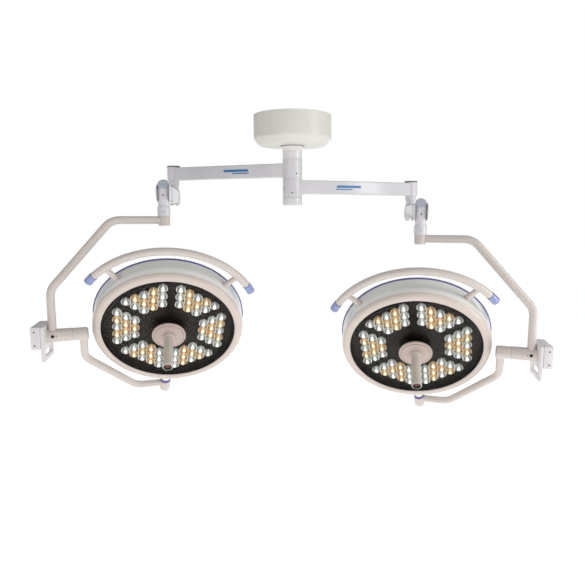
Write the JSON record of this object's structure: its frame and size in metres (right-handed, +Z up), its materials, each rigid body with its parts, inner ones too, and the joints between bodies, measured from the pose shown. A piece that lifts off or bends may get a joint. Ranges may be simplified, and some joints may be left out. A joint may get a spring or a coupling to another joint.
{
  "type": "surgical light",
  "caption": "Ceiling surgical light: LED heads on swivelling arms, balance arms, goosenecks and yokes, with handle rails and a pull-off centre handle.",
  "frame": {"origin": "centre of the ceiling plate's top face, on the column's axis", "axes": "+Z up into the ceiling, +X from the left head to the right head, the heads' faces look towards -Y"},
  "size_m": [2.3432, 1.0049, 1.5297],
  "materials": {
    "ceiling_steel": "zinc-plated plate",
    "canopy_paint": "cream moulded shell",
    "column_paint": "smooth powder coat, semi-gloss",
    "supply_case": "matt dark paint",
    "arm_paint": "smooth powder coat, semi-gloss",
    "cap_plastic": "moulded",
    "knuckle_cap_plastic": "moulded, fine grain",
    "pin_steel": "ground",
    "tube_paint": "smooth powder coat, semi-gloss",
    "box_paint": "smooth powder coat, satin",
    "swivel_plastic": "moulded",
    "head_paint": "painted die casting",
    "rim_paint": "painted die casting",
    "gasket_rubber": "smooth",
    "clear_cover": "clear polished cover",
    "board_black": "black coated board",
    "lens_acrylic": "clear polished acrylic",
    "knob_paint": "moulded",
    "handle_plastic": "moulded, sterilisable",
    "button_plastic": "moulded",
    "rail_cap_plastic": "moulded"
  },
  "bodies": {
    "ceiling_mount": {"ceiling_plate": "ceiling_steel", "canopy_half_a": "canopy_paint", "canopy_half_b": "canopy_paint", "suspension_column": "column_paint", "column_end_cap": "column_paint", "power_supply": "supply_case"},
    "left_arm": {"left_horizontal_arm": "arm_paint", "left_hub_cap": "cap_plastic"},
    "left_rear_joint": {"left_rear_knuckle": "arm_paint", "left_rear_pivot_pin": "pin_steel"},
    "left_balance_arm": {"left_spring_arm": "arm_paint", "left_balance_spring": "pin_steel"},
    "left_levelling_rod": {"left_parallel_rod": "pin_steel"},
    "left_front_joint": {"left_front_knuckle": "arm_paint", "left_front_knuckle_cap": "knuckle_cap_plastic", "left_front_pivot_pin": "pin_steel"},
    "left_gooseneck_arm": {"left_gooseneck": "tube_paint", "left_grip_bracket": "box_paint", "left_control_box": "box_paint"},
    "left_yoke": {"left_yoke_arm": "tube_paint", "left_yoke_swivel_ring": "swivel_plastic"},
    "left_head": {"left_head_housing": "head_paint", "left_head_gasket": "gasket_rubber", "left_front_ring": "rim_paint", "left_front_cover": "clear_cover", "left_led_board": "board_black", "left_led_lens_array": "lens_acrylic", "left_handle_rail": "tube_paint", "left_rail_cap_outer": "rail_cap_plastic", "left_rail_cap_inner": "rail_cap_plastic"},
    "left_focus_handle": {"left_handle_base": "knob_paint"},
    "left_sterile_sleeve": {"left_handle_sleeve": "handle_plastic"},
    "left_release_button": {"left_lock_button": "button_plastic"},
    "right_arm": {"right_horizontal_arm": "arm_paint", "right_hub_cap": "cap_plastic"},
    "right_rear_joint": {"right_rear_knuckle": "arm_paint", "right_rear_pivot_pin": "pin_steel"},
    "right_balance_arm": {"right_spring_arm": "arm_paint", "right_balance_spring": "pin_steel"},
    "right_levelling_rod": {"right_parallel_rod": "pin_steel"},
    "right_front_joint": {"right_front_knuckle": "arm_paint", "right_front_knuckle_cap": "knuckle_cap_plastic", "right_front_pivot_pin": "pin_steel"},
    "right_gooseneck_arm": {"right_gooseneck": "tube_paint", "right_grip_bracket": "box_paint", "right_control_box": "box_paint"},
    "right_yoke": {"right_yoke_arm": "tube_paint", "right_yoke_swivel_ring": "swivel_plastic"},
    "right_head": {"right_head_housing": "head_paint", "right_head_gasket": "gasket_rubber", "right_front_ring": "rim_paint", "right_front_cover": "clear_cover", "right_led_board": "board_black", "right_led_lens_array": "lens_acrylic", "right_handle_rail": "tube_paint", "right_rail_cap_outer": "rail_cap_plastic", "right_rail_cap_inner": "rail_cap_plastic"},
    "right_focus_handle": {"right_handle_base": "knob_paint"},
    "right_sterile_sleeve": {"right_handle_sleeve": "handle_plastic"},
    "right_release_button": {"right_lock_button": "button_plastic"}
  },
  "joints": [
    {"name": "left_arm_swivel", "type": "hinge", "parent": "ceiling_mount", "child": "left_arm", "pos_m": [0, 0, -0.283], "axis": [0, 0, 1], "range_deg": [-100, 30]},
    {"name": "left_balance_swivel", "type": "hinge", "parent": "left_arm", "child": "left_rear_joint", "pos_m": [-0.69618, 0.29982, -0.416], "axis": [0, 0, 1], "range_deg": [-110, 25]},
    {"name": "left_balance_tilt", "type": "hinge", "parent": "left_rear_joint", "child": "left_balance_arm", "pos_m": [-0.69618, 0.29982, -0.416], "axis": [-0.991, -0.134, 0], "range_deg": [-45, 20]},
    {"name": "left_rod_pivot", "type": "hinge", "parent": "left_rear_joint", "child": "left_levelling_rod", "pos_m": [-0.69618, 0.29982, -0.444], "axis": [-0.991, -0.134, 0], "range_deg": [-45, 20]},
    {"name": "left_levelling_pivot", "type": "hinge", "parent": "left_balance_arm", "child": "left_front_joint", "pos_m": [-0.60159, -0.39981, -0.416], "axis": [-0.991, -0.134, 0], "range_deg": [-20, 45]},
    {"name": "left_gooseneck_swivel", "type": "hinge", "parent": "left_front_joint", "child": "left_gooseneck_arm", "pos_m": [-0.60159, -0.39981, -0.416], "axis": [0, 0, 1], "range_deg": [-140, 140]},
    {"name": "left_yoke_roll", "type": "hinge", "parent": "left_gooseneck_arm", "child": "left_yoke", "pos_m": [-0.60159, -0.39981, -1.056], "axis": [-0.9397, -0.342, 0], "range_deg": [-150, 120]},
    {"name": "left_head_turn", "type": "hinge", "parent": "left_yoke", "child": "left_head", "pos_m": [-0.59501, -0.39742, -1.056], "axis": [-0.1898, 0.5214, -0.832], "range_deg": [-150, 150]},
    {"name": "left_focus_turn", "type": "hinge", "parent": "left_head", "child": "left_focus_handle", "pos_m": [-0.59501, -0.39742, -1.056], "axis": [0.1357, -0.8253, -0.5482], "range_deg": [-90, 90]},
    {"name": "left_sleeve_pull", "type": "slide", "parent": "left_focus_handle", "child": "left_sterile_sleeve", "axis": [0.1357, -0.8253, -0.5482], "range_m": [0, 0.18]},
    {"name": "left_button_press", "type": "slide", "parent": "left_sterile_sleeve", "child": "left_release_button", "axis": [-0.1357, 0.8253, 0.5482], "range_m": [0, 0.004], "stiffness_N_per_m": 400, "springref_m": -0.0015},
    {"name": "right_arm_swivel", "type": "hinge", "parent": "ceiling_mount", "child": "right_arm", "pos_m": [0, 0, -0.37], "axis": [0, 0, 1], "range_deg": [-30, 100]},
    {"name": "right_balance_swivel", "type": "hinge", "parent": "right_arm", "child": "right_rear_joint", "pos_m": [0.69618, 0.29982, -0.503], "axis": [0, 0, 1], "range_deg": [-25, 110]},
    {"name": "right_balance_tilt", "type": "hinge", "parent": "right_rear_joint", "child": "right_balance_arm", "pos_m": [0.69618, 0.29982, -0.503], "axis": [-0.991, 0.134, 0], "range_deg": [-45, 20]},
    {"name": "right_rod_pivot", "type": "hinge", "parent": "right_rear_joint", "child": "right_levelling_rod", "pos_m": [0.69618, 0.29982, -0.531], "axis": [-0.991, 0.134, 0], "range_deg": [-45, 20]},
    {"name": "right_levelling_pivot", "type": "hinge", "parent": "right_balance_arm", "child": "right_front_joint", "pos_m": [0.60159, -0.39981, -0.503], "axis": [-0.991, 0.134, 0], "range_deg": [-20, 45]},
    {"name": "right_gooseneck_swivel", "type": "hinge", "parent": "right_front_joint", "child": "right_gooseneck_arm", "pos_m": [0.60159, -0.39981, -0.503], "axis": [0, 0, 1], "range_deg": [-140, 140]},
    {"name": "right_yoke_roll", "type": "hinge", "parent": "right_gooseneck_arm", "child": "right_yoke", "pos_m": [0.60159, -0.39981, -1.143], "axis": [0.9397, -0.342, 0], "range_deg": [-120, 150]},
    {"name": "right_head_turn", "type": "hinge", "parent": "right_yoke", "child": "right_head", "pos_m": [0.59501, -0.39742, -1.143], "axis": [0.1898, 0.5214, -0.832], "range_deg": [-150, 150]},
    {"name": "right_focus_turn", "type": "hinge", "parent": "right_head", "child": "right_focus_handle", "pos_m": [0.59501, -0.39742, -1.143], "axis": [-0.1357, -0.8253, -0.5482], "range_deg": [-90, 90]},
    {"name": "right_sleeve_pull", "type": "slide", "parent": "right_focus_handle", "child": "right_sterile_sleeve", "axis": [-0.1357, -0.8253, -0.5482], "range_m": [0, 0.18]},
    {"name": "right_button_press", "type": "slide", "parent": "right_sterile_sleeve", "child": "right_release_button", "axis": [0.1357, 0.8253, 0.5482], "range_m": [0, 0.004], "stiffness_N_per_m": 400, "springref_m": -0.0015}
  ],
  "couplings": [
    {"joint": "left_rod_pivot", "follows": "left_balance_tilt", "ratio": 1},
    {"joint": "left_levelling_pivot", "follows": "left_balance_tilt", "ratio": -1},
    {"joint": "right_rod_pivot", "follows": "right_balance_tilt", "ratio": 1},
    {"joint": "right_levelling_pivot", "follows": "right_balance_tilt", "ratio": -1}
  ]
}
